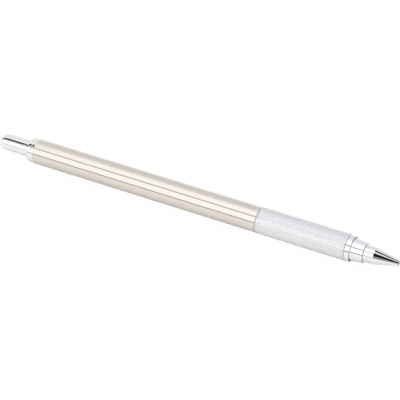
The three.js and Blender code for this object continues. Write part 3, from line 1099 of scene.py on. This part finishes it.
def camera():
    """The camera: a long lens before the pen's needle end, turned and raised as in the photograph.

    Its place is a point on the pen's axis, moved a little across the view, plus the way back along
    the line of sight.
    """
    stage = bpy.context.scene.scribe_stage
    turned_by, raised_by = stage.camera_azimuth, stage.camera_elevation
    back = Vector(
        (
            math.sin(turned_by) * math.cos(raised_by),
            -math.cos(turned_by) * math.cos(raised_by),
            math.sin(raised_by),
        )
    )
    facing = (-back).to_track_quat("-Z", "Y")
    right, up = facing @ Vector((1, 0, 0)), facing @ Vector((0, 1, 0))
    target = Vector((stage.aim_along, 0, AXIS_Z * MM)) + stage.aim_right * right + stage.aim_up * up
    data = bpy.data.cameras.new("long_lens")
    data.lens = stage.lens
    data.sensor_width = SENSOR_WIDTH
    data.clip_start, data.clip_end = CLIPPING
    cam = bpy.data.objects.new("long_lens", data)
    cam.rotation_mode = "QUATERNION"
    cam.rotation_quaternion = facing
    cam.location = target + stage.distance * back
    bpy.context.scene.collection.objects.link(cam)
    bpy.context.scene.camera = cam


# Add-on


def length_property(name, description, default):
    """A length in metres, shown in Blender's unit of length."""
    return bpy.props.FloatProperty(
        name=name, description=description, default=default, min=0, unit="LENGTH", precision=5
    )


def colour_property(name, description, default):
    """A colour from an sRGB hex value."""
    return bpy.props.FloatVectorProperty(
        name=name,
        description=description,
        default=linear(default),
        size=4,
        min=0,
        max=1,
        subtype="COLOR",
    )


class ScribeSizes(bpy.types.PropertyGroup):
    """Sizes of the fine forms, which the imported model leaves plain."""

    knurl_round: bpy.props.IntProperty(
        name="Knurl pitches round",
        description="Diamonds in one turn of the grip",
        default=34,
        min=12,
        max=60,
    )
    knurl_rows: bpy.props.IntProperty(
        name="Knurl pitches along", description="Diamonds along the grip", default=22, min=8, max=40
    )
    knurl_depth: length_property("Knurl depth", "Depth of the knurl's grooves", 0.00005)
    spring_wire: length_property("Spring wire", "Diameter of the return spring's wire", 0.0003)
    spring_coils: bpy.props.IntProperty(
        name="Spring coils",
        description="Turns of the return spring, the closed end coils among them",
        default=12,
        min=4,
    )


class ScribeColours(bpy.types.PropertyGroup):
    """Base colours of the materials."""

    chrome: colour_property("Chrome", "Bright chrome plate", "#F4F4F6")
    steel: colour_property("Steel", "Warm brushed stainless steel", "#E7DFD5")
    aluminium: colour_property("Aluminium", "Satin anodised aluminium", "#F4F4F5")
    brass: colour_property("Brass", "Turned brass", "#D9BE7C")
    spring_steel: colour_property("Spring steel", "Drawn spring steel", "#C4C6CA")
    carbide: colour_property("Carbide", "Ground tungsten carbide", "#8B8C90")
    acetal: colour_property("Acetal", "White acetal", "#E9E8E2")
    rubber: colour_property("Rubber", "Black nitrile rubber", "#1C1C1E")


class ScribeStage(bpy.types.PropertyGroup):
    """The floor and the camera."""

    floor_radius: length_property("Floor radius", "Radius of the paper floor", 3.0)
    camera_azimuth: bpy.props.FloatProperty(
        name="Azimuth",
        description="Turn of the camera round the pen",
        default=math.radians(26.84),
        subtype="ANGLE",
    )
    camera_elevation: bpy.props.FloatProperty(
        name="Elevation",
        description="Height of the camera's line of sight",
        default=math.radians(37.8),
        subtype="ANGLE",
    )
    lens: bpy.props.FloatProperty(
        name="Lens", description="Focal length in millimetres", default=149.8, min=10, unit="CAMERA"
    )
    distance: length_property("Distance", "From the camera to the point it looks at", 0.5237)
    aim_along: length_property(
        "Aim along the pen", "Place on the axis that the camera looks at", 0.002945
    )
    aim_right: length_property("Aim right", "Shift of the aim to the right of the view", -0.0000415)
    aim_up: length_property("Aim up", "Shift of the aim up the view", 0.0005)


class BuildStep:
    """What the operators share: each one calls its own functions in turn."""

    bl_options = {"REGISTER", "UNDO"}
    builds = ()

    def execute(self, context):
        for build in self.builds:
            build()
        return {"FINISHED"}


class SCRIBE_PEN_OT_button(BuildStep, bpy.types.Operator):
    """Build the push cap with its liner, the reservoir tube and its plug"""

    bl_idname = "scribe_pen.button"
    bl_label = "Button and reservoir"
    builds = (push_cap, reservoir)


class SCRIBE_PEN_OT_barrel(BuildStep, bpy.types.Operator):
    """Build the collar, the brushed barrel and the joint"""

    bl_idname = "scribe_pen.barrel"
    bl_label = "Collar, barrel and joint"
    builds = (rear_collar, barrel_and_joint)


class SCRIBE_PEN_OT_grip(BuildStep, bpy.types.Operator):
    """Build the knurled grip"""

    bl_idname = "scribe_pen.grip"
    bl_label = "Knurled grip"
    builds = (knurled_sleeve,)


class SCRIBE_PEN_OT_nose(BuildStep, bpy.types.Operator):
    """Build the steps and the cone of the nose"""

    bl_idname = "scribe_pen.nose"
    bl_label = "Nose"
    builds = (nose,)


class SCRIBE_PEN_OT_clutch(BuildStep, bpy.types.Operator):
    """Build the clutch and its return spring"""

    bl_idname = "scribe_pen.clutch"
    bl_label = "Clutch and spring"
    builds = (clutch, return_spring)


class SCRIBE_PEN_OT_needle(BuildStep, bpy.types.Operator):
    """Build the needle with its carbide point"""

    bl_idname = "scribe_pen.needle"
    bl_label = "Needle"
    builds = (needle,)


class SCRIBE_PEN_OT_stage(BuildStep, bpy.types.Operator):
    """Build the floor, the studio light and the camera"""

    bl_idname = "scribe_pen.stage"
    bl_label = "Stage"
    builds = (studio_world, floor, camera)


class SCRIBE_PEN_PT_panel(bpy.types.Panel):
    """Lists the sizes, colours and stage, and the steps that build them"""

    bl_idname = "SCRIBE_PEN_PT_panel"
    bl_label = "Scribe pen"
    bl_space_type = "VIEW_3D"
    bl_region_type = "UI"
    bl_category = "Scribe pen"

    def draw(self, context):
        for key, group in GROUPS.items():
            box = self.layout.box()
            for name in group.__annotations__:
                box.prop(getattr(context.scene, key), name)
        for operator in OPERATORS:
            self.layout.operator(operator.bl_idname)


GROUPS = {"scribe_sizes": ScribeSizes, "scribe_colours": ScribeColours, "scribe_stage": ScribeStage}
OPERATORS = (
    SCRIBE_PEN_OT_button,
    SCRIBE_PEN_OT_barrel,
    SCRIBE_PEN_OT_grip,
    SCRIBE_PEN_OT_nose,
    SCRIBE_PEN_OT_clutch,
    SCRIBE_PEN_OT_needle,
    SCRIBE_PEN_OT_stage,
)


def register():
    """Registers the classes and gives the scene its groups of properties."""
    for cls in (*GROUPS.values(), *OPERATORS, SCRIBE_PEN_PT_panel):
        bpy.utils.register_class(cls)
    for key, group in GROUPS.items():
        setattr(bpy.types.Scene, key, bpy.props.PointerProperty(type=group))


def unregister():
    """Takes back what register() did."""
    for key in GROUPS:
        delattr(bpy.types.Scene, key)
    for cls in (SCRIBE_PEN_PT_panel, *OPERATORS, *GROUPS.values()):
        bpy.utils.unregister_class(cls)


def main():
    """Builds the pieces and the stage."""
    register()
    bpy.context.scene.view_settings.view_transform = "Standard"
    bpy.ops.scribe_pen.button()
    bpy.ops.scribe_pen.barrel()
    bpy.ops.scribe_pen.grip()
    bpy.ops.scribe_pen.nose()
    bpy.ops.scribe_pen.clutch()
    bpy.ops.scribe_pen.needle()
    bpy.ops.scribe_pen.stage()


if __name__ == "__main__":
    main()
